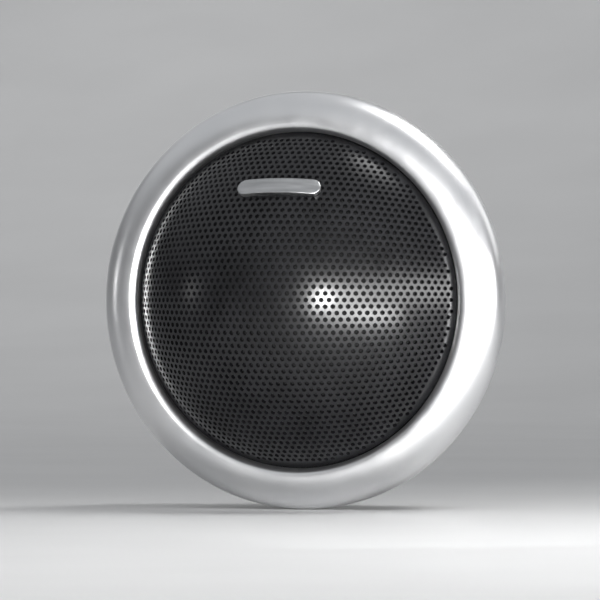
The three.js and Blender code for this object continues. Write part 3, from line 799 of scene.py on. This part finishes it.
def build_faceplate():
    """The plate that clamps the diaphragm, with a mouth that flares along a parabola."""
    mouth_r, throat_r = 21.6, 16.4
    outer_r, front, rear = span("faceplate")
    throat_y, clamp_y, ring_r = -1.25, -0.95, 18.75
    steps = 16
    flare = []
    for i in range(steps + 1):
        t = i / steps
        flare.append((mouth_r + (throat_r - mouth_r) * t, throat_y + (front - throat_y) * (1 - t) ** 2))
    rest = [(throat_r, clamp_y), (ring_r, clamp_y), (ring_r, rear), (outer_r, rear), (outer_r, front)]
    place(turned("flared_faceplate", flare + rest), HOUSING, "black_moulding", MOULDING, "faceplate")


def build_rear_housing():
    """The rear pot, with its socket window, screw holes, locating posts and moulding details."""
    outer_r, front, rear = span("rear_housing")
    wall, inner_r = 1.5, 19.9
    groove_deep, mark_deep = 0.25, 0.1
    flute_front, flute_rear = 13.2, 18.6
    floor = rear - wall
    outline = filleted([
        (0, floor, 0),
        (inner_r, floor, 0.5),
        (inner_r, front, 0.15),
        (outer_r, front, 0.15),
        (outer_r, rear, 1.6),
        (0, rear, 0),
    ], 8)
    pot = turned("rear_moulding", outline)
    join(pot, pegs(0.85, POST_AT, -POST_AT, BOARD_FRONT - TOUCH, floor + PAST))
    window = prism("window", rectangle(11.2, 8.2, z=SOCKET_Z, fillet=0.6), floor - PAST, rear + PAST)
    off_facets = 0.7  # degrees, so that no corner of the groove falls on an edge of the pot
    groove = turn(washer("groove", 13.6, 14.2, rear - groove_deep, rear + PAST, fillet=0), off_facets)
    ejector_marks = pegs(1.5, 8.3, 7.7, rear - mark_deep, rear + PAST, steps=30)
    flute = circle(0.5, outer_r + 0.2, steps=12)
    flutes = around(range(0, 360, 10), lambda: prism("flute", flute, flute_front, flute_rear))
    cut(pot, [window, groove, *ejector_marks, *flutes])
    hole = circle(1.0, PILLAR_AT)
    cut(pot, around(SCREW_ANGLES, lambda: prism("hole", hole, floor - PAST, rear + PAST)))
    soften(pot, 0.08)
    place(pot, HOUSING, "black_moulding", MOULDING, "rear_housing")


def build_seal():
    """The rubber ring that closes the rear chamber."""
    inner_r = 19.95
    outer_r, front, rear = span("chamber_seal")
    seal = washer("chamber_gasket", inner_r, outer_r, front, rear, fillet=0.2)
    place(seal, HOUSING, "black_rubber", RUBBER, "chamber_seal")


def build_screw(number, angle):
    """A pan-head thread-forming screw with a cross recess, its head to the rear."""
    low, high = corners(f"body_screw_{number}")
    head_r, head_high, head_side = 1.8, 1.3, 0.45
    shank_r, pitch, thread_deep, steepness = 0.85, 0.6, 0.2, 2.2
    tip_r, taper_long, rows_per_turn = 0.15, 1.2, 8
    under = high.y - head_high
    tip = low.y
    core = shank_r - thread_deep
    first, threaded = tip + 0.4, under - tip - 0.6
    rows = int((under - tip) / pitch * rows_per_turn)
    shank = [(shank_r, first + threaded * i / rows) for i in range(rows + 1)]
    head = [(core, under), (head_r - 0.1, under), (head_r, under + 0.1)]
    dome = ellipse(0, under + head_side, head_r, head_high - head_side, 0, -90, 12)

    def thread(r, y, share):
        if y >= under or r < shank_r:
            return r
        ridge = abs((y / pitch + share) % 1 - 0.5) * 2
        taper = min(1, (y - tip) / taper_long)
        return taper * (core + (shank_r - core) * max(0, 1 - steepness * ridge))

    profile = [(0, tip), (tip_r, tip), *shank, *head, *dome[:-1], (0, high.y)]
    screw = turned(f"screw_{number}", profile, 48, thread)
    recess, arm, half = high.y - 0.7, 1, 0.26
    arms = [
        block("cross", (-arm, recess, -half), (arm, high.y + PAST, half)),
        block("cross", (-half, recess, -arm), (half, high.y + PAST, arm)),
    ]
    cut(screw, arms)
    turn(move(turn(screw, 20 * number), x=PILLAR_AT), angle)
    place(screw, HOUSING, "plated_steel", STEEL, f"body_screw_{number}")


# ---- Motor and diaphragm -----------------------------------------------------------------


def build_motor():
    """From the front: the felt pad, pole plate, magnet, yoke cup and damping wadding."""
    felt_r, felt_front, felt_rear = span("felt_pad")
    felt = place(disc("felt", felt_r, felt_front, felt_rear, 0.25), HOUSING, "grey_felt", FELT, "felt_pad")
    place(disc("top_plate", *span("pole_plate"), 0.15), HOUSING, "plated_steel", STEEL, "pole_plate")
    place(disc("magnet_disc", *span("magnet"), 0.25), HOUSING, "nickel_magnet", NICKEL, "magnet")
    cup_r, front, rear = span("yoke_cup")
    floor, bore_r, chamfer = rear - 2, 13.45, 0.7
    cup = [(0, floor, 0), (bore_r, floor, 0.3), (bore_r, front, 0.1), (cup_r, front, 0.1)]
    base = [(cup_r, rear - chamfer, 0), (cup_r - chamfer, rear, 0), (0, rear, 0)]
    place(turned("yoke", filleted(cup + base), INNER_STEPS), HOUSING, "plated_steel", STEEL, "yoke_cup")
    foam = disc("chamber_wadding", *span("damping_foam"), 0.4)
    place(foam, HOUSING, "damping_wadding", WADDING, "damping_foam")


def build_dome():
    """A thin spherical cap."""
    radius, front, edge = 12.7, *span("dome")[1:]
    high, thick = edge - front, 0.3
    sphere = (radius**2 + high**2) / (2 * high)
    centre = front + sphere
    inner_r = math.sqrt((sphere - thick) ** 2 - (centre - edge) ** 2)
    profile = cap(centre, sphere, radius, 24) + cap(centre, sphere - thick, inner_r, 24)[::-1]
    place(turned("silk_dome", profile, INNER_STEPS), DIAPHRAGM, "coated_silk", SILK, "dome")


def build_coil():
    """The former and the copper on it, with one ridge for each turn of wire."""
    bore_r = 12.5
    former_r, front, rear = span("voice_coil_former")
    former = washer("coil_former", bore_r, former_r, front, rear, fillet=0)
    place(former, DIAPHRAGM, "former_aluminium", ALUMINIUM, "voice_coil_former")
    coil_r, front, rear = span("voice_coil")
    inner_r, turns = 12.8, 20
    pitch = (rear - front) / turns
    wound = []
    for i in range(turns):
        middle = front + (i + 0.5) * pitch
        wound += ellipse(coil_r - pitch / 2, middle, pitch / 2, pitch / 2, 80, -80, 4)
    winding = turned("coil_winding", [(inner_r, front), *wound, (inner_r, rear)], INNER_STEPS)
    place(winding, DIAPHRAGM, "copper_winding", COPPER, "voice_coil")


SURROUND_SECTORS = 12


def build_surround():
    """The half-roll, in sectors that each bend along their own radius."""
    outer_r = span("surround")[0]
    roll_r, roll_y, reach, thick = 14.45, -0.75, 1.6, 0.3
    rim_y, lip_y = -0.9, -0.45
    inner = reach - thick
    meet = math.degrees(math.asin((roll_y - rim_y) / reach))
    roll_steps, steps = 20, 8  # over the roll, and along a sector
    over = [(roll_r - reach, lip_y), *ellipse(roll_r, roll_y, reach, reach, 180, meet, roll_steps)]
    rim = [(outer_r, rim_y), (outer_r, rim_y + thick), (roll_r + inner, rim_y + thick)]
    under = [*ellipse(roll_r, roll_y, inner, inner, 0, 180, roll_steps), (roll_r - inner, lip_y)]
    profile = over + rim + under
    half = math.pi / SURROUND_SECTORS
    for i in range(SURROUND_SECTORS):
        points = []
        for k in range(steps + 1):
            angle = half * (2 * k / steps - 1)
            points += [(r * math.cos(angle), y, r * math.sin(angle)) for r, y in profile]
        count = len(profile)
        faces = [tuple(range(count)), tuple(range(steps * count, (steps + 1) * count))]
        for k in range(steps):
            for p in range(count):
                q = (p + 1) % count
                row, next_row = k * count, (k + 1) * count
                faces.append((row + p, row + q, next_row + q, next_row + p))
        sector = face_outward(add_mesh(f"half_roll_{i + 1}", points, faces))
        dress(turn(sector, 360 * i / SURROUND_SECTORS), SILK)
        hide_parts("surround")
        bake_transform(sector)


def build_diaphragm_ring():
    """The ring that carries the surround, notched for the two solder tabs."""
    inner_r = 15.9
    outer_r, front, rear = span("diaphragm_ring")
    ring = washer("carrier_ring", inner_r, outer_r, front, rear, fillet=0.1)
    notch = (14.9, 0.35, -1.15), (19.6, rear + PAST, 1.15)
    cut(ring, around((0, 180), lambda: block("notch", *notch)))
    place(ring, HOUSING, "black_moulding", MOULDING, "diaphragm_ring")


# ---- Board, connector and wires ----------------------------------------------------------


def build_board():
    """The square board, drilled for the pins, the capacitor's leads and the locating posts."""
    wide = 22
    board = prism("circuit_board", rectangle(wide, wide, fillet=0.8), BOARD_FRONT, BOARD_REAR)
    drills = []
    for radius, x, z in ((0.55, PIN_X, SOCKET_Z), (0.45, LEAD_X, LEAD_Z), (1.0, POST_AT, -POST_AT)):
        drills += pegs(radius, x, z, BOARD_FRONT - PAST, BOARD_REAR + PAST)
    place(soften(cut(board, drills), 0.05), HOUSING, "board_green", BOARD, "terminal_board")


def build_solder():
    """A cone of solder round each joint on the board's front face."""
    base = BOARD_FRONT - TOUCH
    slope = [(0.06, 0.55), (0.2, 0.15), (0.55, 0)]
    joints = [
        (side * x, z, bore)
        for x, z, bore in ((PIN_X, SOCKET_Z, 0.57), (LEAD_X, LEAD_Z, 0.32))
        for side in SIDES
    ]
    for number, (x, z, bore) in enumerate(joints, 1):
        cone = [(bore, base - 0.55), *[(bore + out, base - up) for out, up in slope], (bore, base)]
        solder = move(turned(f"solder_{number}", cone, 32), x=x, z=z)
        place(solder, HOUSING, "tinned_wire", TINNED)


def build_capacitor():
    """An aluminium can in a shrunk sleeve, with its crimped groove, lying across the board."""
    low, high = corners("capacitor")
    half, radius = (high.x - low.x) / 2, (high.z - low.z) / 2
    centre_y, centre_z = (low.y + high.y) / 2, (low.z + high.z) / 2
    can_r = radius - 0.12
    bore_r = can_r + 0.01
    sleeve = filleted([
        (bore_r, -half + 0.1, 0),
        (bore_r - 0.7, -half + 0.1, 0),
        (bore_r - 0.7, -half, 0),
        (radius, -half, 0.12),
        (radius, half - 2, 0.3),
        (radius - 0.25, half - 1.6, 0.2),
        (radius, half - 1.2, 0.3),
        (radius, half, 0.12),
        (radius - 0.8, half, 0),
        (radius - 0.8, half - 0.1, 0),
        (bore_r, half - 0.1, 0),
        (bore_r, half - 1.1, 0),
        (can_r - 0.2, half - 1.6, 0),
        (bore_r, half - 2.1, 0),
    ])
    can = filleted([
        (0, -half + 0.12, 0),
        (can_r, -half + 0.12, 0.15),
        (can_r, half - 2.15, 0.1),
        (can_r - 0.26, half - 1.6, 0.1),
        (can_r, half - 1.05, 0.1),
        (can_r, half - 0.12, 0.15),
        (0, half - 0.12, 0),
    ])
    for name, profile, slot, look in (
        ("capacitor_can", can, "former_aluminium", ALUMINIUM),
        ("capacitor_jacket", sleeve, "capacitor_sleeve", SLEEVE),
    ):
        piece = turned(name, profile, 64)
        piece.data.transform(Matrix.Rotation(-math.pi / 2, 4, "Z"))
        move(piece, y=centre_y, z=centre_z)
        place(piece, HOUSING, slot, look, "capacitor")
    for number, side in enumerate(SIDES, 1):
        route = [
            (side * (half - 0.1), centre_y, centre_z),
            (side * (half + 0.9), centre_y, centre_z),
            (side * (LEAD_X - 0.1), centre_y + 0.5, centre_z),
            (side * LEAD_X, centre_y + 1.4, centre_z),
            (side * LEAD_X, BOARD_REAR - 0.2, centre_z),
        ]
        lead = tube(f"capacitor_wire_{number}", route, 0.3)
        place(lead, HOUSING, "tinned_wire", TINNED, f"capacitor_lead_{number}")


def build_connector():
    """The plug socket: a rounded shroud with a chamfered mouth, two keyways and a latch ramp."""
    front, rear = span("connector_shell")[1:]
    wide, tall, wall, base = 10.6, 7.6, 1.0, 1.35
    inner_wide, inner_tall = wide - 2 * wall, tall - 2 * wall
    mouth_wide, mouth_tall, mouth_deep = wide - 0.9, tall - 0.9, 0.55
    top = SOCKET_Z + tall / 2
    shell = prism("socket_shroud", rectangle(wide, tall, z=SOCKET_Z, fillet=0.7), front, rear)
    inside = rectangle(inner_wide, inner_tall, z=SOCKET_Z, fillet=0.4)
    cavity = prism("cavity", inside, front + base, rear + PAST)
    mouth = rectangle(mouth_wide, mouth_tall, z=SOCKET_Z, fillet=0.65)
    lead_in = prism("lead_in", mouth, rear - mouth_deep, rear + PAST)
    for vertex in lead_in.data.vertices:
        if vertex.co.y < rear:
            vertex.co.x *= inner_wide / mouth_wide
            vertex.co.z = SOCKET_Z + (vertex.co.z - SOCKET_Z) * inner_tall / mouth_tall
    key_at, key_half, key_long, key_deep = 3.4, 0.5, 5.5, 0.35
    pin_hole = 0.86
    keyways, drills = [], []
    for side in SIDES:
        low = (side * key_at - key_half, rear - key_long, top - key_deep)
        high = (side * key_at + key_half, rear + PAST, top + PAST)
        keyways.append(block("keyway", low, high))
        hole = rectangle(pin_hole, pin_hole, side * PIN_X, SOCKET_Z)
        drills.append(prism("drill", hole, front - PAST, front + base + PAST))
    ramp = [(-0.5, 24), (0.9, 24), (0.9, 24.4), (0.05, 27), (-0.5, 27)]
    latch = move(turn(across("latch", ramp, 3), 90), z=top)
    join(cut(shell, [cavity, lead_in, *keyways, *drills]), [latch])
    soften(shell, 0.09)
    place(shell, HOUSING, "black_moulding", MOULDING, "connector_shell")


def build_pins():
    """Square brass pins, chamfered at the board and pointed in the socket."""
    half = 0.4
    corner = half * math.sqrt(2)
    for number, side in enumerate(SIDES, 1):
        low, high = corners(f"terminal_pin_{number}")
        tail = [(0, low.y), (0.3, low.y), (corner, low.y + 0.4)]
        point = [(corner, high.y - 0.9), (0.22, high.y), (0, high.y)]
        pin = soften(turn(turned(f"pin_{number}", tail + point, 4), 45), 0.06)
        move(pin, side * PIN_X, 0, SOCKET_Z)
        place(pin, HOUSING, "terminal_brass", BRASS, f"terminal_pin_{number}")


def build_wiring():
    """The brass tabs, the limp leads to the coil and the insulated wires to the board."""
    tab_front, tab_rear, thick = 0.5, 0.9, 0.4
    inner_x, outer_x, end_y = 15.35, 18.4, 6
    outline = [
        (inner_x, tab_front),
        (outer_x, tab_front),
        (outer_x, end_y),
        (outer_x - thick, end_y),
        (outer_x - thick, tab_rear),
        (inner_x, tab_rear),
    ]
    lead_start, lead_end, lead_y = 12.95, 15.1, 0.75
    lead_middle = (lead_start + lead_end) / 2
    board_x = 9
    poles = ((0, "red_insulation", RED), (180, "black_insulation", BLACK))
    for number, (angle, slot, look) in enumerate(poles, 1):
        tab = soften(turn(across(f"tab_{number}", outline, 2), angle), 0.08)
        place(tab, HOUSING, "terminal_brass", BRASS, f"solder_tab_{number}")

        loop = [(lead_start, lead_y, 0), (lead_start + 0.25, lead_y - 0.8, 0), (lead_middle, lead_y - 1.3, 0)]
        loop += [(lead_end - 0.25, lead_y - 0.8, 0), (lead_end, lead_y, 0)]
        lead = dress(turn(tube(f"coil_lead_{number}", loop, 0.15), angle), COPPER)
        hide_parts(f"lead_wire_{number}")
        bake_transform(lead)

        tab_x = outer_x - thick / 2
        route = [(tab_x, end_y + 0.3, 0), (tab_x, 9, 0), (tab_x, 12, 0), (tab_x - 2.5, 15, 0)]
        route += [(board_x + 1.2, 16.6, 0), (board_x, BOARD_FRONT - 0.3, 0)]
        wire = turn(tube(f"insulated_wire_{number}", route, 0.55), angle)
        place(wire, HOUSING, slot, look, f"hookup_wire_{number}")


# ---- Stage, camera and lamps -------------------------------------------------------------


def build_stage():
    """A large pale table that curves up behind the tweeter."""
    wall_y, bend, far, high = 2.2, 1.6, 30, 2.4
    table_z = -0.02905
    steps = 32
    section = [(-far, table_z), (wall_y - bend, table_z)]
    for i in range(1, steps + 1):
        angle = math.pi / 2 * i / steps
        section.append((wall_y - bend + bend * math.sin(angle), table_z + bend * (1 - math.cos(angle))))
    section.append((wall_y, high))
    points = [(x, y, z) for x in (-far, far) for y, z in section]
    count = len(section)
    faces = [(i, i + 1, count + i + 1, count + i) for i in range(count - 1)]
    stage = add_mesh("table", points, faces)
    look = Look("table", Roughness=0.55, Specular_IOR_Level=0.3)
    look.colours(look.noise(60), (0.3, (0.47, 0.47, 0.47)), (0.7, (0.50, 0.50, 0.50)))
    stage.data.materials.append(look.bumps((look.noise(1.5), 0.02)))
    stage.data.shade_smooth()


def aim(thing, back, distance, target=(0, 0, 0)):
    """Puts a lamp or camera at a distance from its target, facing it."""
    thing.location = Vector(target) + back * distance
    thing.rotation_mode = "QUATERNION"
    thing.rotation_quaternion = back.to_track_quat("Z", "Y")
    bpy.context.scene.collection.objects.link(thing)
    return thing


def softbox(name, azimuth, elevation, distance, wide, high, radiance, target=(0, 0, 0), spread=180):
    """A rectangular lamp that faces its target, as bright per area as radiance says."""
    light = bpy.data.lights.new(name, "AREA")
    light.shape = "RECTANGLE"
    light.size, light.size_y = wide, high
    light.energy = math.pi * wide * high * radiance
    light.spread = math.radians(spread)
    lamp = bpy.data.objects.new(name, light)
    lamp.visible_camera = False
    aim(lamp, direction(azimuth, elevation), distance, target)


def build_lamps():
    """A broad key at the right, a small bright lamp for the highlight, and weak lamps for the rest."""
    softbox("key", azimuth=64, elevation=4, distance=1.2, wide=1.3, high=0.3, radiance=11)
    softbox("key_near", azimuth=26, elevation=2.5, distance=1.2, wide=0.4, high=0.22, radiance=20)
    softbox("low", azimuth=38, elevation=-8, distance=0.14, wide=0.1, high=0.02, radiance=4.2, spread=70)
    softbox("glint", azimuth=12.5, elevation=0.5, distance=1.1, wide=0.09, high=0.09, radiance=440)
    softbox("left", azimuth=-71, elevation=4, distance=1.2, wide=0.1, high=0.1, radiance=8)
    softbox("behind_right", azimuth=140, elevation=25, distance=1.3, wide=0.8, high=0.6, radiance=1)
    softbox("behind_left", azimuth=215, elevation=20, distance=1.3, wide=0.8, high=0.6, radiance=0.3)
    at_floor = {"target": (0.14, -0.13, -0.03), "spread": 60}
    softbox("floor", azimuth=160, elevation=62, distance=0.45, wide=0.25, high=0.25, radiance=2.6, **at_floor)
    at_wall = {"target": (-0.4, 1.9, 0.2)}
    softbox("backdrop", azimuth=0, elevation=40, distance=1.4, wide=1.5, high=0.8, radiance=1, **at_wall)


def build_world():
    """Soft light that is brighter overhead than at the sides."""
    world = bpy.data.worlds.new("studio")
    world.use_nodes = True
    tree = world.node_tree
    place = tree.nodes.new("ShaderNodeTexCoord").outputs["Generated"]
    split = tree.nodes.new("ShaderNodeSeparateXYZ")
    height = tree.nodes.new("ShaderNodeMapRange")
    height.interpolation_type = "SMOOTHSTEP"
    for socket, value in (("From Min", 0.1), ("From Max", 0.6), ("To Min", 0.16), ("To Max", 0.56)):
        height.inputs[socket].default_value = value
    background = tree.nodes["Background"]
    background.inputs["Color"].default_value = (0.95, 0.97, 1, 1)
    tree.links.new(place, split.inputs["Vector"])
    tree.links.new(split.outputs["Z"], height.inputs["Value"])
    tree.links.new(height.outputs["Result"], background.inputs["Strength"])
    bpy.context.scene.world = world
    bpy.context.scene.view_settings.view_transform = "Standard"


def build_camera():
    """A long lens level with the tweeter, to the right of its sound axis."""
    azimuth, distance, target = 18.7, 0.9, (0, -0.003, 0)
    camera = bpy.data.cameras.new("camera")
    camera.sensor_width = 36
    camera.lens = 390
    camera.clip_start, camera.clip_end = 0.05, 100
    camera_object = bpy.data.objects.new("camera", camera)
    bpy.context.scene.camera = aim(camera_object, direction(azimuth, 0), distance, target)


# ---- Assembly ----------------------------------------------------------------------------

build_bezel()
build_cloth(build_grille())
build_badge()
build_gasket()
build_flange()
build_front_housing()
build_faceplate()
build_rear_housing()
build_seal()
for screw_number, screw_angle in enumerate(SCREW_ANGLES, 1):
    build_screw(screw_number, screw_angle)

build_motor()
build_dome()
build_coil()
build_surround()
build_diaphragm_ring()

build_board()
build_solder()
build_capacitor()
build_connector()
build_pins()
build_wiring()

build_stage()
build_lamps()
build_world()
build_camera()
